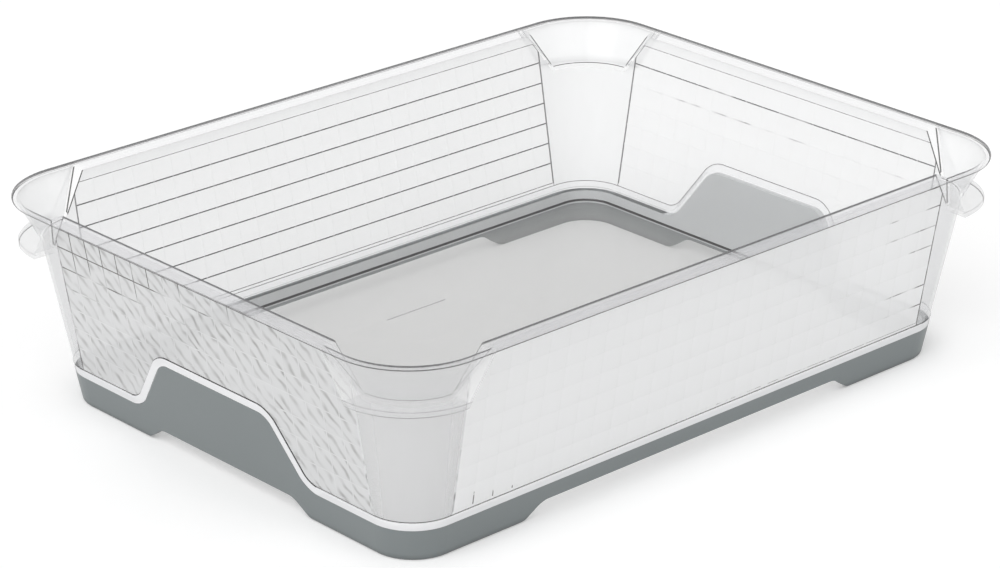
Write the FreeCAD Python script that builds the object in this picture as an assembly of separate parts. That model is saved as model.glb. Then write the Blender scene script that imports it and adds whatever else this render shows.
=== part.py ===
"""Open cat litter tray: a clear tub that lifts out of a grey base frame.

Millimetres. The origin is the centre of the footprint on the ground, +X runs
along the length, +Y across the width and +Z up.
"""
import math
import os

import FreeCAD
import Part

# Overall sizes
rim_length = 500.0
rim_width = 377.0
tray_height = 131.0
rim_radius = 50.0
rim_overhang = 10.4
flange_thickness = 2.4
edge_rounding = 1.0

# Tub walls and floor
wall_draft = 0.1725
wall_thickness = 2.0
corner_radius_growth = 0.104
floor_bottom = 12.0
floor_thickness = 2.0
bead_height = 5.0
bead_proud = 0.6

# Base frame
skirt_top = 20.0
skirt_thickness = 3.6
foot_rounding = 2.0
panel_top = 58.0
panel_half_width = 74.0
panel_flank_angle = 55.0
panel_top_radius = 12.0
panel_bottom_radius = 18.0
arch_height = 9.8
arch_flank_angle = 35.0
arch_radius = 14.0
long_foot_length = 83.0
short_foot_length = 82.0
seat_clearance = 0.4

# Corner grips: a flared corner, a ledge below it and a web at each end
grip_drop = 27.0
ledge_thickness = 3.5
ledge_inset = 2.8
flare_inset = 1.6
web_thickness = 2.0
grip_reach_at_rim = 70.0
grip_reach_at_ledge = 52.0

# Worked out from the sizes above
wall_half_length = rim_length / 2 - rim_overhang
wall_half_width = rim_width / 2 - rim_overhang
foot_half_length = wall_half_length - wall_draft * tray_height
foot_half_width = wall_half_width - wall_draft * tray_height
seat_depth = skirt_thickness + seat_clearance
grip_root = tray_height - grip_drop
ledge_bottom = grip_root - ledge_thickness
cut_past = 20.0


def rounded_rectangle(half_length, half_width, radius, z):
    """Closed wire of four straight sides and four corner arcs at height z."""
    edges = []
    quarter = math.pi / 2
    centre_x = half_length - radius
    centre_y = half_width - radius
    corners = [(1, 1, 0), (-1, 1, 1), (-1, -1, 2), (1, -1, 3)]
    arcs = []
    for sign_x, sign_y, turns in corners:
        points = []
        for step in (0.0, 0.5, 1.0):
            angle = (turns + step) * quarter
            points.append(FreeCAD.Vector(sign_x * centre_x + radius * math.cos(angle),
                                         sign_y * centre_y + radius * math.sin(angle), z))
        arcs.append(points)
    for index, points in enumerate(arcs):
        edges.append(Part.Arc(*points).toShape())
        edges.append(Part.LineSegment(points[2], arcs[(index + 1) % 4][0]).toShape())
    return Part.Wire(edges)


def wall_section(inset, z):
    """Outline of the tub's tapered outer wall at height z, moved in by inset."""
    below_rim = tray_height - z
    half_length = wall_half_length - wall_draft * below_rim - inset
    half_width = wall_half_width - wall_draft * below_rim - inset
    radius = rim_radius - rim_overhang - corner_radius_growth * below_rim - inset
    return rounded_rectangle(half_length, half_width, radius, z)


def rim_section(inset, z):
    """The rim's outline moved in by inset, at height z."""
    return rounded_rectangle(rim_length / 2 - inset, rim_width / 2 - inset, rim_radius - inset, z)


def loft(*sections):
    """Solid between closed outlines, with straight sides."""
    return Part.makeLoft(list(sections), True, True)


def wall_block(inset, z_low, z_high):
    """Solid of the tapered wall's outline between two heights."""
    return loft(wall_section(inset, z_low), wall_section(inset, z_high))


def rim_plate(inset, z_low, z_high):
    """Flat plate with the rim's outline, its outer edges lightly rounded."""
    plate = loft(rim_section(inset, z_low), rim_section(inset, z_high))
    edges = []
    for edge in plate.Edges:
        if edge.BoundBox.ZLength < edge_rounding / 2:
            edges.append(edge)
    return plate.makeFillet(edge_rounding, edges)


def arc_between(start, corner, end, radius):
    """Round a corner of an outline: returns the two tangent points and the arc's middle."""
    to_start = (start - corner).normalize()
    to_end = (end - corner).normalize()
    half_turn = to_start.getAngle(to_end) / 2
    reach = radius / math.tan(half_turn)
    first = corner + to_start * reach
    last = corner + to_end * reach
    bisector = (to_start + to_end).normalize()
    centre = corner + bisector * (radius / math.sin(half_turn))
    middle = centre - bisector * radius
    return first, middle, last


def outline_face(points, radii):
    """Face of a closed outline whose corners are rounded by the given radii."""
    count = len(points)
    vertices = [FreeCAD.Vector(*point) for point in points]
    edges = []
    last_point = None
    first_point = None
    for index in range(count):
        corner = vertices[index]
        if radii[index] > 0:
            first, middle, last = arc_between(vertices[index - 1], corner,
                                              vertices[(index + 1) % count], radii[index])
            arc = Part.Arc(first, middle, last).toShape()
        else:
            first = corner
            last = corner
            arc = None
        if last_point is None:
            first_point = first
        else:
            edges.append(Part.LineSegment(last_point, first).toShape())
        if arc is not None:
            edges.append(arc)
        last_point = last
    edges.append(Part.LineSegment(last_point, first_point).toShape())
    return Part.Face(Part.Wire(edges))


def panel_prism(grow, skirt_line):
    """Bar along X with the outline of the end panels and of the skirt beside them.

    The outline runs along skirt_line, rises on each flank and crosses the
    panel's top. Flanks and top lie outside the panel's own by grow.
    """
    flank = math.radians(panel_flank_angle)
    high = panel_top + grow
    foot_y = panel_half_width + grow / math.sin(flank) - (skirt_line - skirt_top) / math.tan(flank)
    top_y = foot_y - (high - skirt_line) / math.tan(flank)
    low_radius = panel_bottom_radius - grow
    high_radius = panel_top_radius + grow
    half = [(0, top_y, high, high_radius), (0, foot_y, skirt_line, low_radius),
            (0, rim_width, skirt_line, 0), (0, rim_width, -cut_past, 0)]
    other_half = [(x, -y, z, radius) for x, y, z, radius in reversed(half)]
    outline = half + other_half
    points = [(x - rim_length, y, z) for x, y, z, radius in outline]
    radii = [radius for x, y, z, radius in outline]
    return outline_face(points, radii).extrude(FreeCAD.Vector(2 * rim_length, 0, 0))


def arch_profile(clear_half_length):
    """Outline of the gap between two feet: pairs of side and height, with radii."""
    run = arch_height / math.tan(math.radians(arch_flank_angle))
    half = [(clear_half_length - run, arch_height, arch_radius), (clear_half_length, 0, arch_radius),
            (rim_length, 0, 0), (rim_length, -cut_past, 0)]
    other_half = [(-side, height, radius) for side, height, radius in reversed(half)]
    return half + other_half


def long_side_arch():
    """Bar along Y that opens the arches under the two long sides."""
    outline = arch_profile(foot_half_length - long_foot_length)
    points = [(side, -rim_width, height) for side, height, radius in outline]
    radii = [radius for side, height, radius in outline]
    return outline_face(points, radii).extrude(FreeCAD.Vector(0, 2 * rim_width, 0))


def short_side_arch():
    """Bar along X that opens the arches under the two short sides."""
    outline = arch_profile(foot_half_width - short_foot_length)
    points = [(-rim_length, side, height) for side, height, radius in outline]
    radii = [radius for side, height, radius in outline]
    return outline_face(points, radii).extrude(FreeCAD.Vector(2 * rim_length, 0, 0))


def corner_region(shrink):
    """The four corner zones of the grips, between slanted end faces, less shrink."""
    zones = []
    low = ledge_bottom - cut_past
    high = tray_height + cut_past
    spread = (grip_reach_at_rim - grip_reach_at_ledge) / grip_drop
    for sign_x in (-1, 1):
        for sign_y in (-1, 1):
            sections = []
            for z in (low, high):
                reach = grip_reach_at_ledge + spread * (z - grip_root) - shrink
                inner_x = sign_x * (rim_length / 2 - reach)
                inner_y = sign_y * (rim_width / 2 - reach)
                outer_x = sign_x * rim_length
                outer_y = sign_y * rim_width
                points = [(inner_x, inner_y, z), (outer_x, inner_y, z), (outer_x, outer_y, z),
                          (inner_x, outer_y, z), (inner_x, inner_y, z)]
                sections.append(Part.makePolygon([FreeCAD.Vector(*point) for point in points]))
            zones.append(loft(*sections))
    return Part.makeCompound(zones)


def base_frame():
    """Grey skirt ring on four corner feet, with a raised panel on each short end."""
    above = panel_top + cut_past
    outside = wall_block(-bead_proud, 0, above)
    bottom_edges = [edge for edge in outside.Edges if edge.BoundBox.ZMax < foot_rounding / 2]
    outside = outside.makeFillet(foot_rounding, bottom_edges)
    shell = outside.cut(wall_block(skirt_thickness, -cut_past, above + cut_past))
    shell = shell.common(panel_prism(0, skirt_top))
    return shell.cut(long_side_arch()).cut(short_side_arch())


def tub_outside():
    """Everything inside the tub's outer skin, before it is hollowed."""
    deep = wall_block(seat_depth, floor_bottom, tray_height)
    recess = panel_prism(seat_clearance, skirt_top)
    upper = wall_block(0, skirt_top, tray_height).cut(recess)
    bead_edge = panel_prism(seat_clearance + bead_height, skirt_top + bead_height)
    bead = wall_block(-bead_proud, skirt_top, tray_height).common(bead_edge).cut(recess)
    flare = loft(wall_section(0, grip_root), rim_section(flare_inset, tray_height))
    return deep.fuse([upper, bead, flare.common(corner_region(0))])


def tub_cavity():
    """The space inside the tub, flared at the corners like its outside."""
    above = tray_height + cut_past
    deep = wall_block(seat_depth + wall_thickness, floor_bottom + floor_thickness, above)
    recess = panel_prism(seat_clearance + wall_thickness, skirt_top + wall_thickness)
    upper = wall_block(wall_thickness, skirt_top + wall_thickness, above).cut(recess)
    flare = loft(wall_section(wall_thickness, grip_root),
                 rim_section(flare_inset + wall_thickness, tray_height))
    return deep.fuse([upper, flare.common(corner_region(web_thickness))])


def grip_ledges():
    """Flat finger ledges round the four corners, below the flared part."""
    return rim_plate(ledge_inset, ledge_bottom, grip_root).common(corner_region(0))


def grip_webs():
    """Slanted end webs that tie each ledge to the rim's flange."""
    space = loft(rim_section(ledge_inset, ledge_bottom), rim_section(flare_inset, tray_height))
    return space.common(corner_region(0).cut(corner_region(web_thickness)))


def tub():
    """Clear tub: tapered walls, floor, rim flange and four corner grips."""
    flange = rim_plate(0, tray_height - flange_thickness, tray_height)
    solid = tub_outside().fuse([flange, grip_ledges(), grip_webs()])
    return solid.cut(tub_cavity()).removeSplitter()


def main():
    """Write one STEP file for each moulding."""
    os.makedirs("parts", exist_ok=True)
    for name, shape in (("base_frame", base_frame()), ("tub", tub())):
        shape.exportStep("parts/" + name + ".step")
        print(name, len(shape.Solids), "solid,", round(shape.Volume / 1000, 1), "cm3, valid:", shape.isValid())


main()
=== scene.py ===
import math

import bmesh
import bpy
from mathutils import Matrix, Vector


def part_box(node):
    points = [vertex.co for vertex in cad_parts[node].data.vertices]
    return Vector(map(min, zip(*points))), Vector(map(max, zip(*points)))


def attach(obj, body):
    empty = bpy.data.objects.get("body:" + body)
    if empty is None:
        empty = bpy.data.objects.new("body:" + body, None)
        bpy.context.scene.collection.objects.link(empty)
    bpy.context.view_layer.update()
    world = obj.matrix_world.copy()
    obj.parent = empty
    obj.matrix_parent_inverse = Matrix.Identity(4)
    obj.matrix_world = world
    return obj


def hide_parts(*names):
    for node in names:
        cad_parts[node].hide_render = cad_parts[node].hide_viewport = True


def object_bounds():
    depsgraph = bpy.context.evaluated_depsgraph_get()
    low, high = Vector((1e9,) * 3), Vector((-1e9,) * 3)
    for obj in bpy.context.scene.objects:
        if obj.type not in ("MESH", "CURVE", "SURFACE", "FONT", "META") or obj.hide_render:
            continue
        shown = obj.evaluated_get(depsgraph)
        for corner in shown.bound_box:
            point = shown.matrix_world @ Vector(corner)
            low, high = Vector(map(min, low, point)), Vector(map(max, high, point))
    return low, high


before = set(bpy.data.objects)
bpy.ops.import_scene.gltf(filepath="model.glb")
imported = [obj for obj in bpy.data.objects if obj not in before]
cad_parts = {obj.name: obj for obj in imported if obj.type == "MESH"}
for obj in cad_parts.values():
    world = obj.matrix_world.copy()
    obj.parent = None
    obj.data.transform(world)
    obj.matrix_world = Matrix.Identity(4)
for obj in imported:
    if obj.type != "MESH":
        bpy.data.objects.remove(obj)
cadLow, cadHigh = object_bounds()
tubLow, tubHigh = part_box("tub")
baseLow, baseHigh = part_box("base_frame")
mm = 0.001

tubShape = {
    "halfLength": tubHigh.x,        # of the rim
    "halfWidth": tubHigh.y,
    "rimTop": tubHigh.z,
    "floorBottom": tubLow.z,
    "rimRadius": 50 * mm,
    "rimOverhang": 10.4 * mm,
    "flange": 2.4 * mm,
    "rounding": 1.0 * mm,
    "soft": 0.3 * mm,               # in from an edge's two faces to the middle of its rounding
    "draft": 0.1725,                # how far the wall leans out per unit of height
    "radiusGrowth": 0.104,
    "wall": 2.0 * mm,
    "floor": 2.0 * mm,
    "floorRounding": 3.0 * mm,      # between the floor and the walls, inside
    "seatDepth": 4.0 * mm,          # the deep part stands in from the wall above it
    "skirtTop": 20.0 * mm,
    "clearance": 0.4 * mm,
    "beadHeight": 5.0 * mm,
    "beadProud": 0.6 * mm,
    "beadReach": 8 * mm,            # above this over the panel's top there is no bead
    "beadLine": 0.5 * mm,           # fine step above the bead
    "beadLineProud": 0.05 * mm,
    "edgeLine": 0.9 * mm,           # strip below the rim's inner edge
    "shelfEdge": 0.3 * mm,
    "blockDrop": 40 * mm,           # from the rim's top down to the top of the inner blocks
    "cutPast": 20 * mm,             # how far a cutter runs past the rim
    "sink": 0.02 * mm,              # keeps a cutter's face off the face beside it
    "cornerSteps": 16,
}
panelShape = {
    "top": baseHigh.z,
    "halfWidth": 74 * mm,
    "flankAngle": math.radians(55),
    "topRadius": 12 * mm,
    "bottomRadius": 18 * mm,
    "arcSteps": 8,
    "barBottom": -20 * mm,
    "barReach": 300 * mm,
}
gripShape = {
    "drop": 27 * mm,                # from the rim's top down to the ledge's top
    "ledge": 3.5 * mm,
    "ledgeUnder": 0.5 * mm,         # rounding of the ledge's lower edge
    "ledgeInset": 2.8 * mm,
    "flareInset": 1.6 * mm,
    "web": 2.0 * mm,
    "sideLine": 0.8 * mm,
    "reachAtRim": 70 * mm,
    "reachAtLedge": 52 * mm,
    "zoneBelow": 30 * mm,           # how far the zones run past the grips
    "zoneBeyond": 60 * mm,
    "ridge": 0.3 * mm,              # bevel of the outer edges, down to a little below the ledge
    "ridgeBelow": 3 * mm,
    "kink": 0.2 * mm,               # bevels where the flared hollow turns
    "flaredKink": 0.55 * mm,
    "kinkLength": 5 * mm,           # shorter edges aren't kinks
}
fine = {
    "close": 0.1 * mm,              # counts as the same place
    "merge": 0.001 * mm,
    "upright": 0.95,                # least part of the normal across a straight wall
    "level": 0.9,
    "steep": 0.05,                  # most of the normal's rise on a vertical face
    "flatAngle": math.radians(0.3), # faces that meet at less become one
    "sharpAngle": math.radians(12),
    "smoothAngle": math.radians(40),
}

# Materials

def feed(tree, socket, value):
    # links a node's output to the socket, or sets the socket to a value
    if isinstance(value, bpy.types.NodeSocket):
        tree.links.new(value, socket)
    else:
        socket.default_value = value


def addNode(tree, kind, inputs=(), operation=None):
    # a node whose inputs, given by name or in order, are linked or set
    node = tree.nodes.new(kind)
    if operation:
        node.operation = operation
    for key, value in inputs.items() if isinstance(inputs, dict) else enumerate(inputs):
        feed(tree, node.inputs[key], value)
    return node


def nodeGroup(name, inputs, outputs):
    group = bpy.data.node_groups.new(name, "ShaderNodeTree")
    for socketName, kind, value in inputs:
        socket = group.interface.new_socket(socketName, in_out="INPUT", socket_type=kind)
        socket.default_value = value
    for socketName, kind in outputs:
        group.interface.new_socket(socketName, in_out="OUTPUT", socket_type=kind)
    return group, group.nodes.new("NodeGroupInput").outputs, group.nodes.new("NodeGroupOutput").inputs


textures = {
    "waveScale": 14,
    "bendScale": 45,
    "patchScale": 110,
    "patchFull": 0.75,              # noise at which streaks show in full
}


def mouldedSurface():
    # slow waves and fine grain of a moulded face, as roughness and height
    group, given, result = nodeGroup(
        "mouldedSurface",
        [("Vector", "NodeSocketVector", (0, 0, 0)), ("Roughness", "NodeSocketFloat", 0.3),
         ("Variation", "NodeSocketFloat", 0.05), ("Wave", "NodeSocketFloat", 0.2),
         ("Grain", "NodeSocketFloat", 0.2), ("Grain Scale", "NodeSocketFloat", 900.0)],
        [("Roughness", "NodeSocketFloat"), ("Height", "NodeSocketFloat")])
    wave = addNode(group, "ShaderNodeTexNoise", {
        "Vector": given["Vector"], "Scale": textures["waveScale"], "Detail": 1}).outputs["Fac"]
    grain = addNode(group, "ShaderNodeTexNoise", {
        "Vector": given["Vector"], "Scale": given["Grain Scale"], "Detail": 2}).outputs["Fac"]
    centred = addNode(group, "ShaderNodeMath", (wave, 0.5), "SUBTRACT").outputs[0]
    rough = addNode(group, "ShaderNodeMath", (centred, given["Variation"], given["Roughness"]),
                    "MULTIPLY_ADD")
    waveHeight = addNode(group, "ShaderNodeMath", (wave, given["Wave"]), "MULTIPLY").outputs[0]
    height = addNode(group, "ShaderNodeMath", (grain, given["Grain"], waveHeight), "MULTIPLY_ADD")
    feed(group, result["Roughness"], rough.outputs[0])
    feed(group, result["Height"], height.outputs[0])
    return group


def brokenLine():
    # how much of a fine moulded line shows: it fades along drift and breaks up
    group, given, result = nodeGroup(
        "brokenLine",
        [("Vector", "NodeSocketVector", (0, 0, 0)), ("Scale", "NodeSocketFloat", 60.0),
         ("Drift", "NodeSocketVector", (0, 0, 0)), ("Threshold", "NodeSocketFloat", 0.5),
         ("Softness", "NodeSocketFloat", 0.05)],
        [("Share", "NodeSocketFloat")])
    noise = addNode(group, "ShaderNodeTexNoise", {
        "Vector": given["Vector"], "Scale": given["Scale"], "Detail": 1}).outputs["Fac"]
    drifted = addNode(group, "ShaderNodeVectorMath", (given["Vector"], given["Drift"]), "DOT_PRODUCT")
    total = addNode(group, "ShaderNodeMath", (noise, drifted.outputs["Value"]), "ADD").outputs[0]
    over = addNode(group, "ShaderNodeMath", (total, given["Threshold"]), "SUBTRACT").outputs[0]
    soft = addNode(group, "ShaderNodeMath", (over, given["Softness"]), "DIVIDE")
    soft.use_clamp = True
    feed(group, result["Share"], soft.outputs[0])
    return group


def diagonalShadeStreaks():
    # painted shade: soft bent stripes that fade in and out, along the diagonals of the relief, standing in
    # for the streaks that refraction through the pillows gives
    group, given, result = nodeGroup(
        "diagonalShadeStreaks",
        [("Vector", "NodeSocketVector", (0, 0, 0)), ("Across", "NodeSocketVector", (0, 69.0, 73.7)),
         ("Bend", "NodeSocketFloat", 0.5), ("Width", "NodeSocketFloat", 0.3),
         ("Threshold", "NodeSocketFloat", 0.4)],
        [("Share", "NodeSocketFloat")])
    bend = addNode(group, "ShaderNodeTexNoise", {
        "Vector": given["Vector"], "Scale": textures["bendScale"], "Detail": 2}).outputs["Fac"]
    phase = addNode(group, "ShaderNodeVectorMath", (given["Vector"], given["Across"]), "DOT_PRODUCT")
    bent = addNode(group, "ShaderNodeMath", (bend, given["Bend"], phase.outputs["Value"]), "MULTIPLY_ADD")
    stripe = addNode(group, "ShaderNodeMath", (bent.outputs[0], 0.5), "PINGPONG")
    line = addNode(group, "ShaderNodeMapRange", {
        "Value": stripe.outputs[0], "From Max": given["Width"], "To Min": 1, "To Max": 0})
    line.interpolation_type = "SMOOTHSTEP"
    patches = addNode(group, "ShaderNodeTexNoise", {
        "Vector": given["Vector"], "Scale": textures["patchScale"], "Detail": 1}).outputs["Fac"]
    fade = addNode(group, "ShaderNodeMapRange", {
        "Value": patches, "From Min": given["Threshold"], "From Max": textures["patchFull"]})
    both = addNode(group, "ShaderNodeMath", (line.outputs["Result"], fade.outputs["Result"]), "MULTIPLY")
    feed(group, result["Share"], both.outputs[0])
    return group


def addSurface(tree, look, place, colour):
    # gives the shader its colour, and a moulded face's roughness and bump
    plastic = tree.nodes["Principled BSDF"]
    surface = addNode(tree, "ShaderNodeGroup")
    surface.node_tree = moulded
    feed(tree, surface.inputs["Vector"], place)
    for socketName in ("Roughness", "Variation", "Wave", "Grain"):
        surface.inputs[socketName].default_value = look[socketName.lower()]
    bump = addNode(tree, "ShaderNodeBump", {
        "Height": surface.outputs["Height"], "Distance": look["bumpDistance"],
        "Strength": look["bumpStrength"]})
    feed(tree, plastic.inputs["Base Color"], colour)
    feed(tree, plastic.inputs["Roughness"], surface.outputs["Roughness"])
    feed(tree, plastic.inputs["Normal"], bump.outputs["Normal"])


moulded = mouldedSurface()
marks = {"brokenLine": brokenLine(), "diagonalShadeStreaks": diagonalShadeStreaks()}

clearShine = {
    "roughness": 0.12,
    "variation": 0.04,
    "wave": 0.3,
    "grain": 0.0,
    "bumpDistance": 0.15 * mm,
    "bumpStrength": 0.5,
    "shadow": 0.45,                 # share of the cover that lamps meet
    "markCover": 0.9,
}
# towards grazing the plastic turns grey: partly the absorption of a longer path through it, partly painted
# darkening for the dark rims that refraction gives
grazeGrey = (0.45, 0.45, 0.46)
grazeFade = (0.78, 1.0)


def finish(front, frontCover, behind, behindCover, **others):
    # colour and cover seen from outside and from inside the plastic, and what they
    # turn into between the two facings of each fade
    look = {"front": front, "frontCover": frontCover, "behind": behind, "behindCover": behindCover,
            "frontGraze": grazeGrey, "frontGrazeCover": 0.5, "frontFade": grazeFade,
            "behindGraze": grazeGrey, "behindGrazeCover": 0.4, "behindFade": grazeFade,
            "marks": []}
    look.update(others)
    return look


dark = (0.025, 0.022, 0.022)
clearLooks = {
    "clearPlastic": finish((0.84, 0.845, 0.855), 0.30, (0.96, 0.965, 0.97), 0.51),
    "clearPlasticInside": finish((0.98, 0.985, 0.995), 0.15, (0.84, 0.845, 0.855), 0.28),
    # floor: a grey veil, painted shade standing in for the shaded ground seen through the clear floor
    "clearPlasticShadedFloor": finish((0.43, 0.43, 0.425), 0.27, (0.43, 0.43, 0.425), 0.27),
    "clearPlasticFlange": finish((0.74, 0.74, 0.77), 0.16, (0.62, 0.62, 0.65), 0.14),
    # Edge, LowEdge, Line and SoftLine: painted dark lines on roundings, steps, kinks and ribs, standing in
    # for the dark edges that refraction draws in clear plastic
    "clearPlasticEdge": finish((0.6, 0.6, 0.63), 0.10, dark, 0.92, behindGraze=dark, behindGrazeCover=0.92),
    "clearPlasticLowEdge": finish(
        (0.6, 0.6, 0.63), 0.12, (0.7, 0.7, 0.7), 0.12, frontGraze=dark, frontGrazeCover=0.8,
        frontFade=(0.62, 0.85), behindGraze=dark, behindGrazeCover=0.95, behindFade=(0.48, 0.60)),
    "clearPlasticLine": finish(dark, 0.88, dark, 0.75),
    "clearPlasticSoftLine": finish((0.20, 0.19, 0.20), 0.45, (0.10, 0.09, 0.09), 0.35),
    "clearPlasticBead": finish((0.985, 0.985, 1.0), 0.86, (0.88, 0.89, 0.91), 0.35),
    "clearPlasticLedge": finish((0.72, 0.725, 0.73), 0.30, (0.70, 0.705, 0.71), 0.25),
    # webs: white, a painted glint
    "clearPlasticWebGlint": finish((0.97, 0.97, 0.97), 0.25, (0.93, 0.93, 0.93), 0.15),
    "clearPlasticPillow": finish((0.96, 0.965, 0.97), 0.84, (0.985, 0.985, 0.99), 0.50),
    "clearPlasticRow": finish(
        (0.955, 0.96, 0.965), 0.84, dark, 0.95,
        marks=[("front", "brokenLine", (0.16, 0.15, 0.15),
                {"Scale": 70, "Drift": (5.0, 0, 0), "Threshold": 1.33, "Softness": 0.2}),
               ("front", "brokenLine", (0.16, 0.15, 0.15),
                {"Scale": 150, "Drift": (1.5, 0, -30), "Threshold": -0.27, "Softness": 0.08})]),
    "clearPlasticColumn": finish(
        (0.955, 0.96, 0.965), 0.84, (0.95, 0.95, 0.955), 0.48,
        marks=[("front", "brokenLine", (0.20, 0.19, 0.19),
                {"Scale": 200, "Drift": (-8.0, 0, -20), "Threshold": 1.16, "Softness": 0.08})]),
    # painted shade: the short walls' finishes are darker copies of the long walls', as if the short walls
    # faced away from the light
    "clearPlasticShadedShortPillow": finish(
        (0.76, 0.765, 0.77), 0.84, (0.975, 0.975, 0.98), 0.47,
        marks=[("front", "diagonalShadeStreaks", (0.34, 0.335, 0.33),
                {"Across": (0, 86.0, -92.0), "Bend": 1.7, "Width": 0.29, "Threshold": 0.30})]),
    "clearPlasticShadedShortRow": finish(
        (0.78, 0.785, 0.79), 0.84, (0.95, 0.95, 0.955), 0.48,
        marks=[("front", "brokenLine", (0.10, 0.095, 0.09),
                {"Scale": 60, "Drift": (0, 3.0, 16.0), "Threshold": 2.12, "Softness": 0.3}),
               ("behind", "brokenLine", dark,
                {"Scale": 60, "Drift": (0, 0, 30.0), "Threshold": 3.3, "Softness": 0.4})]),
    "clearPlasticShadedShortColumn": finish(
        (0.78, 0.785, 0.79), 0.84, (0.97, 0.97, 0.975), 0.48,
        marks=[("front", "brokenLine", (0.10, 0.095, 0.09),
                {"Scale": 60, "Drift": (0, 3.5, 16.0), "Threshold": 2.28, "Softness": 0.3})]),
    "clearPlasticBorder": finish(
        (0.80, 0.80, 0.81), 0.84, dark, 0.85,
        marks=[("front", "brokenLine", dark,
                {"Scale": 140, "Drift": (1.0, 1.0, 0), "Threshold": 0.12, "Softness": 0.4})]),
}


def clearPlastic(name, look):
    material = bpy.data.materials.new(name)
    material.use_nodes = True
    tree = material.node_tree
    place = addNode(tree, "ShaderNodeTexCoord").outputs["Object"]
    facing = addNode(tree, "ShaderNodeLayerWeight", {"Blend": 0.5}).outputs["Facing"]
    backfacing = addNode(tree, "ShaderNodeNewGeometry").outputs["Backfacing"]

    def blend(kind, factor, low, high):
        mix = addNode(tree, "ShaderNodeMix")
        mix.data_type = kind
        feed(tree, mix.inputs["Factor"], factor)
        sockets = [socket for socket in mix.inputs if socket.enabled and socket.name in "AB"]
        for socket, value in zip(sockets, (low, high)):
            feed(tree, socket, (*value, 1) if isinstance(value, tuple) else value)
        return next(socket for socket in mix.outputs if socket.enabled)

    colours, covers = [], []
    for side in ("front", "behind"):
        least, most = look[side + "Fade"]
        fade = addNode(tree, "ShaderNodeMapRange", {"Value": facing, "From Min": least, "From Max": most})
        fade.interpolation_type = "SMOOTHSTEP"
        turned = fade.outputs["Result"]
        colour = blend("RGBA", turned, look[side], look[side + "Graze"])
        cover = blend("FLOAT", turned, look[side + "Cover"], look[side + "GrazeCover"])
        for markSide, kind, markColour, settings in look["marks"]:
            if markSide == side:
                mark = addNode(tree, "ShaderNodeGroup")
                mark.node_tree = marks[kind]
                for socketName, value in {"Vector": place, **settings}.items():
                    feed(tree, mark.inputs[socketName], value)
                colour = blend("RGBA", mark.outputs["Share"], colour, markColour)
                cover = blend("FLOAT", mark.outputs["Share"], cover, clearShine["markCover"])
        colours.append(colour)
        covers.append(cover)
    colour = blend("RGBA", backfacing, *colours)
    cover = blend("FLOAT", backfacing, *covers)
    shaded = addNode(tree, "ShaderNodeMath", (cover, clearShine["shadow"]), "MULTIPLY").outputs[0]
    shadowRay = addNode(tree, "ShaderNodeLightPath").outputs["Is Shadow Ray"]
    addSurface(tree, clearShine, place, colour)
    feed(tree, tree.nodes["Principled BSDF"].inputs["Alpha"], blend("FLOAT", shadowRay, cover, shaded))
    return material


plastics = [clearPlastic(name, look) for name, look in clearLooks.items()]
slots = {name: index for index, name in enumerate(clearLooks)}
print("materials made")


# Small helpers for edit mode

def pick(kind, test):
    # selects the verts, edges or faces of the mesh in edit mode that pass the test
    modes = {"verts": "VERT", "edges": "EDGE", "faces": "FACE"}
    bpy.ops.mesh.select_mode(type=modes[kind])
    bpy.ops.mesh.select_all(action="DESELECT")
    data = bpy.context.edit_object.data
    mesh = bmesh.from_edit_mesh(data)
    for item in getattr(mesh, kind):
        if test(item):
            item.select_set(True)
    mesh.select_flush_mode()
    bmesh.update_edit_mesh(data, loop_triangles=False, destructive=False)


def startPiece(name):
    # a new plane in edit mode, with the clear plastic's slots
    bpy.ops.object.select_all(action="DESELECT")
    bpy.ops.mesh.primitive_plane_add(size=2)
    piece = bpy.context.object
    piece.name = name
    for plastic in plastics:
        piece.data.materials.append(plastic)
    bpy.ops.object.mode_set(mode="EDIT")
    return piece


def closePiece(piece):
    # turns the faces outwards and leaves edit mode
    bpy.ops.mesh.select_mode(type="VERT")
    bpy.ops.mesh.select_all(action="SELECT")
    bpy.ops.mesh.remove_doubles(threshold=fine["merge"])
    bpy.ops.mesh.normals_make_consistent(inside=False)
    if bmesh.from_edit_mesh(piece.data).calc_volume(signed=True) < 0:
        bpy.ops.mesh.flip_normals()
    bpy.ops.object.mode_set(mode="OBJECT")
    return piece


def assignSlot(piece, finishName):
    piece.active_material_index = slots[finishName]
    bpy.ops.object.material_slot_assign()


def combine(piece, tool, operation):
    # joins, cuts or intersects piece with tool, which is used up
    bpy.ops.object.select_all(action="DESELECT")
    bpy.context.view_layer.objects.active = piece
    modifier = piece.modifiers.new("combine", "BOOLEAN")
    modifier.operation = operation
    modifier.solver = "EXACT"
    modifier.object = tool
    bpy.ops.object.modifier_apply(modifier=modifier.name)
    bpy.data.objects.remove(tool)
    return piece


# Outlines are (half length, half width, corner radius, height)

def wallOutline(inset, height):
    drop = tubShape["rimTop"] - height
    lean = tubShape["rimOverhang"] + tubShape["draft"] * drop + inset
    radius = tubShape["rimRadius"] - tubShape["rimOverhang"] - tubShape["radiusGrowth"] * drop - inset
    return (tubShape["halfLength"] - lean, tubShape["halfWidth"] - lean, radius, height)


def rimOutline(inset, height):
    return (tubShape["halfLength"] - inset, tubShape["halfWidth"] - inset,
            tubShape["rimRadius"] - inset, height)


def flareOutline(inset, height):
    # between the wall at the grips' root and the rim, as the flared corners run
    root = wallOutline(inset, tubShape["rimTop"] - gripShape["drop"])
    rim = rimOutline(gripShape["flareInset"] + inset, tubShape["rimTop"])
    share = (height - root[3]) / (rim[3] - root[3])
    return tuple(low + (high - low) * share for low, high in zip(root, rim))


def drawOutline(outline):
    # shapes the plane just added into a rounded rectangle and lifts it to its height
    halfLength, halfWidth, radius, height = outline
    bpy.ops.transform.resize(value=(halfLength, halfWidth, 1), center_override=(0, 0, 0))
    bpy.ops.mesh.bevel(offset=radius, segments=tubShape["cornerSteps"], affect="VERTICES")
    bpy.ops.transform.translate(value=(0, 0, height))
    bpy.ops.object.vertex_group_assign_new()


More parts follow.
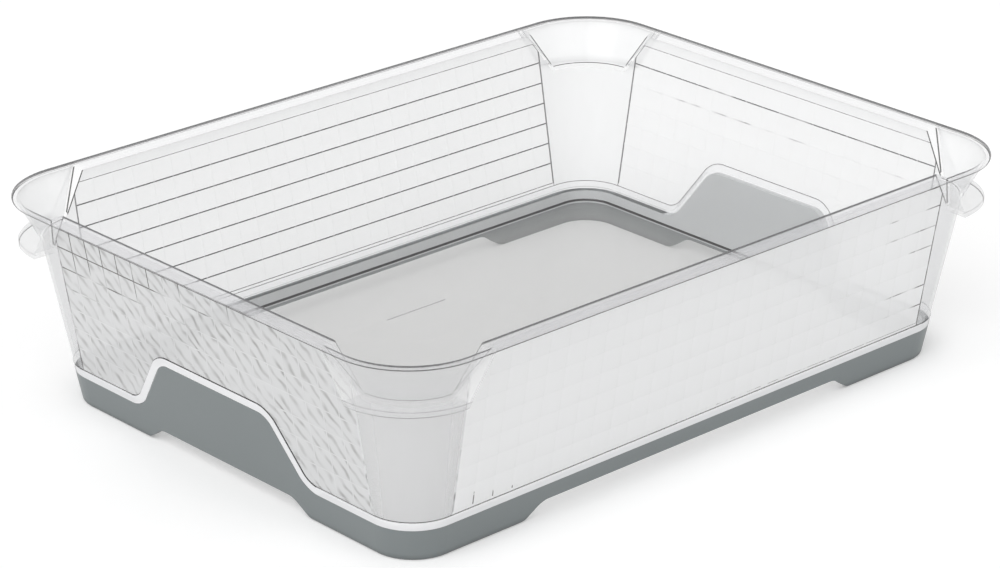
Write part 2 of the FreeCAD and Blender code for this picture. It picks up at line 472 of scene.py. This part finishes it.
def loft(name, outlines, bandFinish=None):
    # closed solid through rounded rectangles from the lowest to the highest, with
    # the finish of each band between two of them where it isn't plain
    finishes = bandFinish or {}
    piece = startPiece(name)
    drawOutline(outlines[0])
    for outline in outlines[1:]:
        bpy.ops.mesh.select_all(action="DESELECT")
        bpy.ops.mesh.primitive_plane_add(size=2)
        drawOutline(outline)
    bpy.ops.mesh.select_all(action="SELECT")
    bpy.ops.mesh.delete(type="ONLY_FACE")
    for band in range(len(outlines) - 1):
        bpy.ops.mesh.select_all(action="DESELECT")
        for ring in (band, band + 1):
            piece.vertex_groups.active_index = ring
            bpy.ops.object.vertex_group_select()
        bpy.ops.mesh.bridge_edge_loops()
        assignSlot(piece, finishes.get(band, "clearPlastic"))
    for ring in (0, len(outlines) - 1):
        bpy.ops.mesh.select_all(action="DESELECT")
        piece.vertex_groups.active_index = ring
        bpy.ops.object.vertex_group_select()
        bpy.ops.mesh.edge_face_add()
        assignSlot(piece, "clearPlastic")
    bpy.ops.object.vertex_group_remove(all=True)
    return closePiece(piece)


def panelPrism(grow, skirtLine):
    # bar along X with the end panels' outline: a strip below skirtLine and a raised middle
    flank = panelShape["flankAngle"]
    high = panelShape["top"] + grow
    footSide = (panelShape["halfWidth"] + grow / math.sin(flank)
                - (skirtLine - tubShape["skirtTop"]) / math.tan(flank))
    topSide = footSide - (high - skirtLine) / math.tan(flank)
    low = panelShape["barBottom"]
    reach = panelShape["barReach"]
    piece = startPiece("panelPrism")
    bpy.ops.transform.rotate(value=math.pi / 2, orient_axis="Y", center_override=(0, 0, 0))
    bpy.ops.transform.resize(value=(1, reach, (skirtLine - low) / 2), center_override=(0, 0, 0))
    bpy.ops.transform.translate(value=(0, 0, (skirtLine + low) / 2))
    for side in (-footSide, footSide):
        bpy.ops.mesh.select_all(action="SELECT")
        bpy.ops.mesh.bisect(plane_co=(0, side, 0), plane_no=(0, 1, 0))
    close = 0.01 * mm
    pick("edges", lambda e: all(abs(v.co.z - skirtLine) < close and abs(v.co.y) < footSide + close
                                for v in e.verts))
    bpy.ops.mesh.extrude_region_move(TRANSFORM_OT_translate={"value": (0, 0, high - skirtLine)})
    bpy.ops.transform.resize(value=(1, topSide / footSide, 1), center_override=(0, 0, high))
    bpy.ops.mesh.select_mode(type="FACE")
    bpy.ops.mesh.select_all(action="SELECT")
    bpy.ops.mesh.dissolve_faces()
    halfTurn = math.tan(flank / 2)
    corners = ((high, topSide, panelShape["topRadius"] + grow),
               (skirtLine, footSide, panelShape["bottomRadius"] - grow))
    for height, side, radius in corners:
        pick("verts", lambda v: abs(v.co.z - height) < close and abs(abs(v.co.y) - side) < close)
        bpy.ops.mesh.bevel(offset=radius * halfTurn, segments=panelShape["arcSteps"], affect="VERTICES")
    bpy.ops.mesh.select_all(action="SELECT")
    bpy.ops.transform.translate(value=(-reach, 0, 0))
    bpy.ops.mesh.extrude_region_move(TRANSFORM_OT_translate={"value": (2 * reach, 0, 0)})
    return closePiece(piece)


def cornerZones(shrink):
    # four upright blocks over the grips, with slanted inner ends
    root = tubShape["rimTop"] - gripShape["drop"]
    low = root - gripShape["zoneBelow"]
    high = tubShape["rimTop"] + tubShape["cutPast"]
    past = gripShape["zoneBeyond"]
    slope = (gripShape["reachAtRim"] - gripShape["reachAtLedge"]) / gripShape["drop"]
    lowReach = gripShape["reachAtLedge"] + slope * (low - root) - shrink
    highReach = gripShape["reachAtLedge"] + slope * (high - root) - shrink
    bpy.ops.object.select_all(action="DESELECT")
    bpy.ops.mesh.primitive_cube_add(size=2)
    piece = bpy.context.object
    piece.name = "cornerZones"
    for plastic in plastics:
        piece.data.materials.append(plastic)
    bpy.ops.object.mode_set(mode="EDIT")
    bpy.ops.transform.translate(value=(1, 1, 1))
    size = (lowReach + past, lowReach + past, high - low)
    bpy.ops.transform.resize(value=[side / 2 for side in size], center_override=(0, 0, 0))
    corner = (tubShape["halfLength"] - lowReach, tubShape["halfWidth"] - lowReach, low)
    bpy.ops.transform.translate(value=corner)
    widen = lowReach - highReach
    pick("verts", lambda v: v.co.z > tubShape["rimTop"] and v.co.x < tubShape["halfLength"])
    bpy.ops.transform.translate(value=(widen, 0, 0))
    pick("verts", lambda v: v.co.z > tubShape["rimTop"] and v.co.y < tubShape["halfWidth"])
    bpy.ops.transform.translate(value=(0, widen, 0))
    bpy.ops.object.mode_set(mode="OBJECT")
    mirror = piece.modifiers.new("corners", "MIRROR")
    mirror.use_axis = (True, True, False)
    mirror.use_mirror_merge = False
    bpy.ops.object.modifier_apply(modifier=mirror.name)
    bpy.ops.object.mode_set(mode="EDIT")
    return closePiece(piece)


def cornerGrips():
    # ledges round the corners, the flared wall above them and a web at each end
    rimTop = tubShape["rimTop"]
    root = rimTop - gripShape["drop"]
    ledgeLow = root - gripShape["ledge"]
    soft = tubShape["soft"]
    under = gripShape["ledgeUnder"]
    inset = gripShape["ledgeInset"]
    grips = loft("grips", [rimOutline(inset + under, ledgeLow), rimOutline(inset, ledgeLow + under),
                           rimOutline(inset, root - soft), rimOutline(inset + soft, root),
                           rimOutline(gripShape["flareInset"], rimTop - soft)],
                 {0: "clearPlasticLine", 2: "clearPlasticSoftLine"})
    combine(grips, cornerZones(0), "INTERSECT")
    flangeLow = rimTop - tubShape["flange"]
    pocket = loft("pocket", [rimOutline(-inset, root), rimOutline(-inset, flangeLow + soft)])
    flare = loft("flare", [flareOutline(0, root - inset), flareOutline(0, rimTop)])
    combine(pocket, flare, "DIFFERENCE")
    combine(pocket, cornerZones(gripShape["web"]), "INTERSECT")
    return combine(grips, pocket, "DIFFERENCE")


def tubOutside():
    # the tub as a full block: wall with its flange, bead, deep part and grips
    rimTop = tubShape["rimTop"]
    flangeLow = rimTop - tubShape["flange"]
    rounding = tubShape["rounding"]
    soft = tubShape["soft"]
    skirtTop = tubShape["skirtTop"]
    beadTop = skirtTop + tubShape["beadHeight"]
    blockTop = rimTop - tubShape["blockDrop"]
    upper = loft("tub_clear", [
        wallOutline(0, skirtTop + rounding), wallOutline(0, flangeLow - soft),
        rimOutline(rounding, flangeLow), rimOutline(soft, flangeLow + soft),
        rimOutline(0, flangeLow + rounding), rimOutline(0, rimTop - rounding),
        rimOutline(soft, rimTop - soft), rimOutline(rounding, rimTop)],
        {2: "clearPlasticLowEdge", 3: "clearPlasticLine", 4: "clearPlasticEdge",
         5: "clearPlasticEdge", 6: "clearPlasticEdge"})
    beadProud = tubShape["beadProud"]
    bead = loft("bead", [wallOutline(-beadProud, skirtTop), wallOutline(-beadProud, blockTop)])
    grow = tubShape["clearance"] + tubShape["beadHeight"]
    line = tubShape["beadLine"]
    lineProud = tubShape["beadLineProud"]
    step = loft("step", [wallOutline(-lineProud, skirtTop), wallOutline(-lineProud, blockTop)],
                {0: "clearPlasticLine"})
    combine(step, panelPrism(grow + line, beadTop + line), "INTERSECT")
    combine(upper, step, "UNION")
    combine(bead, panelPrism(grow, beadTop), "INTERSECT")
    combine(upper, bead, "UNION")
    combine(upper, panelPrism(tubShape["clearance"], skirtTop - tubShape["sink"]), "DIFFERENCE")
    deep = loft("deep", [wallOutline(tubShape["seatDepth"], tubShape["floorBottom"]),
                         wallOutline(tubShape["seatDepth"], blockTop)])
    combine(upper, deep, "UNION")
    return combine(upper, cornerGrips(), "UNION")


def tubHollow():
    # the space inside the tub, with the flared corners and a rounded floor edge
    wall = tubShape["wall"]
    rimTop = tubShape["rimTop"]
    above = rimTop + tubShape["cutPast"]
    rounding = tubShape["rounding"]
    soft = tubShape["soft"]
    sink = tubShape["sink"]
    skirtTop = tubShape["skirtTop"]
    line = tubShape["edgeLine"]
    hollow = loft("hollow", [
        wallOutline(wall, skirtTop + wall), wallOutline(wall, rimTop - rounding - line),
        wallOutline(wall, rimTop - rounding), wallOutline(wall - soft, rimTop - soft),
        wallOutline(wall - rounding, rimTop + sink), wallOutline(wall - rounding, above)],
        {1: "clearPlasticEdge", 2: "clearPlasticEdge", 3: "clearPlasticEdge"})
    combine(hollow, panelPrism(tubShape["clearance"] + wall, skirtTop + wall - sink), "DIFFERENCE")
    floorTop = tubShape["floorBottom"] + tubShape["floor"]
    deepInset = tubShape["seatDepth"] + wall
    turn = tubShape["floorRounding"]
    most, least = 0.5 * turn, 0.13 * turn   # the rounding's points a third of the way from each end
    deep = loft("deepHollow", [
        wallOutline(deepInset + turn, floorTop), wallOutline(deepInset + most, floorTop + least),
        wallOutline(deepInset + least, floorTop + most), wallOutline(deepInset, floorTop + turn),
        wallOutline(deepInset, rimTop - tubShape["blockDrop"])],
        {1: "clearPlasticLine"})
    combine(hollow, deep, "UNION")
    root = rimTop - gripShape["drop"]
    flare = loft("flareHollow", [
        flareOutline(wall, root - rounding), flareOutline(wall, root + line / 2),
        flareOutline(wall, rimTop - rounding - line), flareOutline(wall, rimTop - rounding),
        flareOutline(wall - soft, rimTop - soft), flareOutline(wall - rounding, rimTop + sink),
        flareOutline(wall - rounding, above)],
        {0: "clearPlasticLine", 2: "clearPlasticEdge", 3: "clearPlasticEdge", 4: "clearPlasticEdge"})
    combine(flare, cornerZones(gripShape["web"]), "INTERSECT")
    combine(hollow, flare, "UNION")
    bpy.ops.object.mode_set(mode="EDIT")
    pick("faces", lambda f: f.material_index == slots["clearPlastic"])
    assignSlot(hollow, "clearPlasticInside")
    bpy.ops.object.mode_set(mode="OBJECT")
    return hollow


def faceSide(face):
    # 0 for a face on the outer short walls, 1 on the long ones, else None
    centre = face.calc_center_median()
    outline = wallOutline(0, centre.z)
    for side in (0, 1):
        flat = abs(face.normal[side]) > fine["upright"] and face.normal[side] * centre[side] > 0
        if flat and abs(abs(centre[side]) - outline[side]) < reliefShape["offWall"]:
            return side
    return None


def outlineGap(point, outline):
    # how far a point lies outside a rounded rectangle, negative inside
    halfLength, halfWidth, radius = outline[:3]
    outX = abs(point.x) - (halfLength - radius)
    outY = abs(point.y) - (halfWidth - radius)
    if outX > 0 and outY > 0:
        return math.hypot(outX, outY) - radius
    return max(outX, outY) - radius


def softenEdges(piece, offset, finishName, test, clamp=True):
    # rounds the sharp edges that pass the test and gives them a finish of their own
    bpy.ops.object.select_all(action="DESELECT")
    bpy.context.view_layer.objects.active = piece
    bpy.ops.object.mode_set(mode="EDIT")
    bpy.ops.mesh.select_mode(type="FACE")
    bpy.ops.mesh.select_all(action="SELECT")
    bpy.ops.mesh.dissolve_limited(angle_limit=fine["flatAngle"], delimit={"MATERIAL"})
    pick("edges", lambda e: e.calc_face_angle(0) > fine["sharpAngle"]
         and test(e, sorted(v.co.z for v in e.verts)))
    bpy.ops.mesh.bevel(offset=offset, segments=2, affect="EDGES", clamp_overlap=clamp,
                       material=slots[finishName])
    bpy.ops.object.mode_set(mode="OBJECT")


def finishBead(tub):
    # the smooth band above the skirt and round the panels, and the step at its top
    proud = tubShape["beadProud"]
    near = proud / 5

    def offWall(face, inset):
        centre = face.calc_center_median()
        return abs(outlineGap(centre, wallOutline(inset, centre.z)))

    highest = panelShape["top"] + tubShape["beadReach"]
    pick("faces", lambda f: f.calc_center_median().z < highest and abs(f.normal.z) < 0.3
         and offWall(f, -proud) < near)
    assignSlot(tub, "clearPlasticBead")
    pick("faces", lambda f: tubShape["skirtTop"] + mm < f.calc_center_median().z < highest
         and offWall(f, -proud / 2) < near)
    assignSlot(tub, "clearPlasticLine")


def finishFlatParts(tub):
    # floor, flange, ledges and webs; the floor's grey veil is painted shade and the webs' white a painted
    # glint
    rimTop = tubShape["rimTop"]
    floorTop = tubShape["floorBottom"] + tubShape["floor"]
    plain = slots["clearPlastic"]
    close = fine["close"]

    def squared(face):
        # true for a level face and for a vertical one
        return abs(face.normal.z) > fine["level"] or abs(face.normal.z) < fine["steep"]

    # painted shade: the floor's grey veil
    pick("faces", lambda f: abs(f.normal.z) > fine["level"] and f.calc_center_median().z < floorTop + close)
    assignSlot(tub, "clearPlasticShadedFloor")
    pick("faces", lambda f: f.material_index == plain and squared(f)
         and f.calc_center_median().z > rimTop - tubShape["flange"] - close)
    assignSlot(tub, "clearPlasticFlange")
    ledgeTop = rimTop - gripShape["drop"]
    ledgeLow = ledgeTop - gripShape["ledge"]
    pick("faces", lambda f: f.material_index == plain and squared(f)
         and ledgeLow - close < f.calc_center_median().z < ledgeTop + close)
    assignSlot(tub, "clearPlasticLedge")
    # painted glint: the webs get a whiter finish
    pick("faces", lambda f: f.material_index == plain
         and ledgeTop < f.calc_center_median().z < rimTop - tubShape["flange"]
         and 0.5 < abs(f.normal.z) < 0.6 and max(abs(f.normal.x), abs(f.normal.y)) > 0.8)
    assignSlot(tub, "clearPlasticWebGlint")


def finishGripSides(tub):
    # a painted dark line on the inner walls beside each grip's opening
    root = tubShape["rimTop"] - gripShape["drop"]
    spread = (gripShape["reachAtRim"] - gripShape["reachAtLedge"]) / gripShape["drop"]
    inside = slots["clearPlasticInside"]
    halves = (tubShape["halfLength"], tubShape["halfWidth"])

    def innerWall(face, side):
        return (face.material_index == inside and abs(face.normal[side]) > fine["upright"]
                and face.calc_center_median().z > root)

    for side in (0, 1):
        pick("faces", lambda f: f.material_index == inside and abs(f.normal[side]) > fine["upright"])
        bpy.ops.mesh.bisect(plane_co=(0, 0, root + mm), plane_no=(0, 0, 1))
        for sign in (-1, 1):
            place, across = [0, 0, root], [0, 0, spread]
            start = halves[1 - side] - gripShape["reachAtLedge"] + gripShape["web"] - gripShape["sideLine"]
            place[1 - side] = sign * start
            across[1 - side] = sign
            pick("faces", lambda f: innerWall(f, side))
            bpy.ops.mesh.bisect(plane_co=place, plane_no=across)
            pick("faces", lambda f: innerWall(f, side)
                 and (f.calc_center_median() - Vector(place)).dot(Vector(across)) > 0)
            assignSlot(tub, "clearPlasticLine")


floorMark = {
    "halfLength": 24 * mm,
    "halfWidth": 0.5 * mm,
    "side": 84 * mm,                # from the middle plane
    "rise": 0.3 * mm,
    "slope": 0.15 * mm,
}


def raiseFloorMark(tub):
    # one short fine rib on the floor
    floorTop = tubShape["floorBottom"] + tubShape["floor"]

    def isFloor(face):
        return face.normal.z > fine["level"] and abs(face.calc_center_median().z - floorTop) < fine["close"]

    cuts = [((sign * floorMark["halfLength"], 0, 0), (1, 0, 0)) for sign in (-1, 1)]
    cuts += [((0, floorMark["side"] + sign * floorMark["halfWidth"], 0), (0, 1, 0)) for sign in (-1, 1)]
    for place, direction in cuts:
        pick("faces", isFloor)
        bpy.ops.mesh.bisect(plane_co=place, plane_no=direction)
    pick("faces", lambda f: isFloor(f) and abs(f.calc_center_median().x) < floorMark["halfLength"]
         and abs(f.calc_center_median().y - floorMark["side"]) < floorMark["halfWidth"])
    assignSlot(tub, "clearPlasticSoftLine")
    bpy.ops.mesh.inset(thickness=floorMark["slope"], depth=floorMark["rise"])


reliefShape = {
    "top": 122 * mm,
    "rows": 7,
    "rowPitch": 13.57 * mm,
    "columns": (18, 26),            # on the short and the long walls
    "columnPitch": (14.5 * mm, 14.6 * mm),
    "endLine": 0.7 * mm,            # upright line at each end of a wall
    "groove": 0.42 * mm,
    "grooveDepth": 0.16 * mm,
    "shoulder": 2.4 * mm,
    "shoulderRise": 0.16 * mm,
    "crown": 2.6 * mm,
    "crownRise": 0.07 * mm,
    "offWall": 0.15 * mm,           # how far off the wall's plane a face may lie
    "leastCell": 0.3,               # smallest share of a whole cell that has a groove
    "wholeCell": 0.8,               # smallest share that has a pillow
    "slenderness": 22,              # most perimeter squared over area, 16 for a square
}


def cutGrid():
    # cuts the outer walls into square cells
    for row in range(reliefShape["rows"] + 1):
        height = reliefShape["top"] - row * reliefShape["rowPitch"]
        pick("faces", lambda f: faceSide(f) is not None)
        bpy.ops.mesh.bisect(plane_co=(0, 0, height), plane_no=(0, 0, 1))
    for side in (0, 1):
        columns = reliefShape["columns"][side]
        along = (side == 1, side == 0, 0)
        pitch = reliefShape["columnPitch"][side]
        ends = columns / 2 * pitch + reliefShape["endLine"]
        for place in [-ends] + [(column - columns / 2) * pitch for column in range(columns + 1)] + [ends]:
            pick("faces", lambda f: faceSide(f) == side)
            bpy.ops.mesh.bisect(plane_co=[place * axis for axis in along], plane_no=along)


def isCell(face):
    # true for a cell of the relief that is large and compact enough for a groove
    side = faceSide(face)
    if side is None:
        return False
    centre = face.calc_center_median()
    reach = reliefShape["columns"][side] / 2 * reliefShape["columnPitch"][side]
    bottom = reliefShape["top"] - reliefShape["rows"] * reliefShape["rowPitch"]
    whole = reliefShape["columnPitch"][side] * reliefShape["rowPitch"]
    area = face.calc_area()
    compact = face.calc_perimeter() ** 2 < reliefShape["slenderness"] * area
    return (abs(centre[1 - side]) < reach and bottom < centre.z < reliefShape["top"]
            and area > reliefShape["leastCell"] * whole and compact)


def makeRelief(tub):
    # pillows on the walls' outside, with a fine groove round each
    cutGrid()
    pick("faces", isCell)
    assignSlot(tub, "clearPlasticBorder")
    bpy.ops.mesh.inset(thickness=reliefShape["groove"], depth=reliefShape["grooveDepth"],
                       use_individual=True)
    assignSlot(tub, "clearPlasticPillow")
    cellArea = reliefShape["wholeCell"] * reliefShape["rowPitch"] * reliefShape["columnPitch"][0]
    pillow, border = slots["clearPlasticPillow"], slots["clearPlasticBorder"]
    pick("faces", lambda f: f.material_index == pillow and len(f.verts) == 4 and f.calc_area() > cellArea)
    for thickness, rise in (("shoulder", "shoulderRise"), ("crown", "crownRise")):
        bpy.ops.mesh.inset(thickness=reliefShape[thickness], depth=reliefShape[rise], use_individual=True)
    for side, upright, finishName in (
            (1, False, "clearPlasticRow"), (1, True, "clearPlasticColumn"),
            (0, False, "clearPlasticShadedShortRow"), (0, True, "clearPlasticShadedShortColumn")):
        pick("faces", lambda f: f.material_index == border and isLine(f, side, upright))
        assignSlot(tub, finishName)
    plain = slots["clearPlastic"]
    for side in (0, 1):
        reach = reliefShape["columns"][side] / 2 * reliefShape["columnPitch"][side]
        ends = reach + reliefShape["endLine"]
        for start, end, finishName in ((reach, ends, "clearPlasticBorder"),
                                       (0, reach, "clearPlasticPillow")):
            pick("faces", lambda f: f.material_index == plain and faceSide(f) == side
                 and f.calc_center_median().z < reliefShape["top"]
                 and start <= abs(f.calc_center_median()[1 - side]) < end)
            assignSlot(tub, finishName)
    pick("faces", lambda f: f.material_index == pillow and abs(f.normal.x) > abs(f.normal.y))
    assignSlot(tub, "clearPlasticShadedShortPillow")


def isLine(face, side, upright):
    # true for the level or the upright lines of a wall, apart from the outermost upright ones
    if (abs(face.normal.y) > abs(face.normal.x)) != (side == 1):
        return False
    along = [v.co[1 - side] for v in face.verts]
    heights = [v.co.z for v in face.verts]
    if (max(heights) - min(heights) > max(along) - min(along)) != upright:
        return False
    reach = reliefShape["columns"][side] / 2 * reliefShape["columnPitch"][side]
    return not upright or max(abs(place) for place in along) < reach - fine["close"]


def makeTub():
    rimTop = tubShape["rimTop"]
    root = rimTop - gripShape["drop"]
    shelf = tubShape["skirtTop"] + tubShape["wall"]
    lowest = root - gripShape["ledge"] - gripShape["ridgeBelow"]
    highest = rimTop - tubShape["flange"] - 2 * fine["close"]
    plain = slots["clearPlastic"]
    tub = tubOutside()
    softenEdges(tub, gripShape["ridge"], "clearPlasticSoftLine",
                lambda e, z: e.is_convex and lowest < z[0] and z[1] < highest
                and all(f.material_index == plain for f in e.link_faces))
    hollow = tubHollow()

    def flared(edge):
        middle = (edge.verts[0].co + edge.verts[1].co) / 2
        return outlineGap(middle, wallOutline(tubShape["wall"], middle.z)) > mm

    for offset, outer in ((gripShape["flaredKink"], True), (gripShape["kink"], False)):
        softenEdges(hollow, offset, "clearPlasticLine",
                    lambda e, z: root < z[0] and z[1] < rimTop and z[1] - z[0] > gripShape["kinkLength"]
                    and flared(e) == outer, False)
    softenEdges(hollow, tubShape["shelfEdge"], "clearPlasticLine",
                lambda e, z: all(abs(height - shelf) < fine["close"] for height in z))
    combine(tub, hollow, "DIFFERENCE")
    print("tub shell:", len(tub.data.polygons), "faces")
    bpy.ops.object.select_all(action="DESELECT")
    tub.select_set(True)
    bpy.ops.object.mode_set(mode="EDIT")
    bpy.ops.mesh.select_mode(type="FACE")
    bpy.ops.mesh.select_all(action="SELECT")
    bpy.ops.mesh.dissolve_limited(angle_limit=fine["flatAngle"], delimit={"MATERIAL"})
    bpy.ops.mesh.remove_doubles(threshold=3 * fine["merge"])
    finishBead(tub)
    finishFlatParts(tub)
    finishGripSides(tub)
    raiseFloorMark(tub)
    makeRelief(tub)
    bpy.ops.object.mode_set(mode="OBJECT")
    bpy.ops.object.shade_smooth_by_angle(angle=fine["smoothAngle"])
    weighted = tub.modifiers.new("weightedNormals", "WEIGHTED_NORMAL")
    weighted.keep_sharp = True
    bpy.ops.object.modifier_apply(modifier=weighted.name)
    print("tub with relief:", len(tub.data.polygons), "faces")
    return tub


tub = makeTub()
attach(tub, "tub")
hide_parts("tub")
print("tub made")


# Base frame

baseLook = {
    "colour": (0.212, 0.236, 0.240),
    "roughness": 0.42,
    "variation": 0.06,
    "wave": 0.2,
    "grain": 0.25,
    "bumpDistance": 0.15 * mm,
    "bumpStrength": 0.4,
    "toneScale": 9,
    "toneShades": (0.97, 1.03),
    "paintedShadeHeight": 4 * mm,          # painted shade: the lowest edge is darker, where the base meets the floor
    "paintedShadeFactor": 0.62,
}


def greyPlastic():
    material = bpy.data.materials.new("greyPlastic")
    material.use_nodes = True
    tree = material.node_tree
    place = addNode(tree, "ShaderNodeTexCoord").outputs["Object"]
    noise = addNode(tree, "ShaderNodeTexNoise", {
        "Vector": place, "Scale": baseLook["toneScale"], "Detail": 2}).outputs["Fac"]
    tone = addNode(tree, "ShaderNodeMix")
    tone.data_type = "RGBA"
    feed(tree, tone.inputs["Factor"], noise)
    for socketName, shade in zip("AB", baseLook["toneShades"]):
        tone.inputs[socketName].default_value = [channel * shade for channel in baseLook["colour"]] + [1]
    # painted shade: the colour darkens towards the bottom edge, where the base meets the floor
    height = addNode(tree, "ShaderNodeSeparateXYZ", (place,)).outputs["Z"]
    paintedShade = addNode(tree, "ShaderNodeMapRange", {
        "Value": height, "From Max": baseLook["paintedShadeHeight"], "To Min": baseLook["paintedShadeFactor"]})
    shaded = addNode(tree, "ShaderNodeVectorMath", {
        0: tone.outputs["Result"], "Scale": paintedShade.outputs["Result"]}, "SCALE")
    addSurface(tree, baseLook, place, shaded.outputs["Vector"])
    return material


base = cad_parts["base_frame"]
base.data.materials.clear()
base.data.materials.append(greyPlastic())
print("base made")


# Studio: floor, surroundings, lamps and camera

studio = {
    "floorSize": 60,
    "floorColour": (0.80, 0.80, 0.80, 1),
    "floorLift": 0.25,              # added where the floor is seen, so that it reads as white
    "surround": 0.60,               # light from all sides on the object
    "overhead": 0.85,               # what the camera and gloss see straight above
    "overheadRange": (0.45, 0.85),  # upward part of the direction, from the fade's start to its end
    "softness": math.radians(50),
    "lamps": {                      # strength, azimuth and elevation
        "keyLamp": (1.3, -75, 50),
        "fillLamp": (0.3, 0, 40),
    },
}


def seenRays(tree):
    # 1 for rays from the camera and from gloss
    path = addNode(tree, "ShaderNodeLightPath")
    rays = (path.outputs["Is Camera Ray"], path.outputs["Is Glossy Ray"])
    return addNode(tree, "ShaderNodeMath", rays, "MAXIMUM").outputs[0]


def makeFloor():
    bpy.ops.object.select_all(action="DESELECT")
    bpy.ops.mesh.primitive_plane_add(size=studio["floorSize"], location=(0, 0, cadLow.z))
    floor = bpy.context.object
    floor.name = "floor"
    material = bpy.data.materials.new("floor")
    material.use_nodes = True
    tree = material.node_tree
    lift = addNode(tree, "ShaderNodeMath", (seenRays(tree), studio["floorLift"]), "MULTIPLY").outputs[0]
    settings = {"Base Color": studio["floorColour"], "Roughness": 1, "Specular IOR Level": 0,
                "Emission Color": (1, 1, 1, 1), "Emission Strength": lift}
    for socketName, value in settings.items():
        feed(tree, tree.nodes["Principled BSDF"].inputs[socketName], value)
    floor.data.materials.append(material)


def makeSurroundings():
    world = bpy.data.worlds.new("studio")
    bpy.context.scene.world = world
    world.use_nodes = True
    tree = world.node_tree
    direction = addNode(tree, "ShaderNodeTexCoord").outputs["Generated"]
    height = addNode(tree, "ShaderNodeSeparateXYZ", (direction,)).outputs["Z"]
    start, end = studio["overheadRange"]
    overhead = addNode(tree, "ShaderNodeMapRange", {
        "Value": height, "From Min": start, "From Max": end, "To Min": 1, "To Max": studio["overhead"]})
    strength = addNode(tree, "ShaderNodeMix", {
        "Factor": seenRays(tree), "A": studio["surround"], "B": overhead.outputs["Result"]})
    background = tree.nodes["Background"]
    background.inputs["Color"].default_value = (1, 1, 1, 1)
    feed(tree, background.inputs["Strength"], strength.outputs["Result"])


def makeLamp(name, strength, azimuth, elevation):
    bpy.ops.object.light_add(type="SUN", rotation=(math.radians(90 - elevation), 0, math.radians(azimuth)))
    lamp = bpy.context.object
    lamp.name = name
    lamp.data.energy = strength
    lamp.data.angle = studio["softness"]


cameraPlace = {
    "azimuth": math.radians(-42.74),
    "elevation": math.radians(22.83),
    "distance": 2.153,
    "lens": 128.9,
    "aimOffset": (-5.6 * mm, 1.3 * mm, -6.8 * mm),
}


def makeCamera():
    azimuth, elevation = cameraPlace["azimuth"], cameraPlace["elevation"]
    aim = (cadLow + cadHigh) / 2 + Vector(cameraPlace["aimOffset"])
    back = Vector((math.sin(azimuth) * math.cos(elevation), -math.cos(azimuth) * math.cos(elevation),
                   math.sin(elevation)))
    bpy.ops.object.camera_add(location=aim + back * cameraPlace["distance"],
                              rotation=(math.pi / 2 - elevation, 0, azimuth))
    camera = bpy.context.object
    camera.data.lens = cameraPlace["lens"]
    bpy.context.scene.camera = camera


makeFloor()
makeSurroundings()
for name, settings in studio["lamps"].items():
    makeLamp(name, *settings)
makeCamera()
bpy.context.scene.view_settings.view_transform = "Standard"
bpy.context.scene.cycles.transparent_max_bounces = 32
print("studio made")
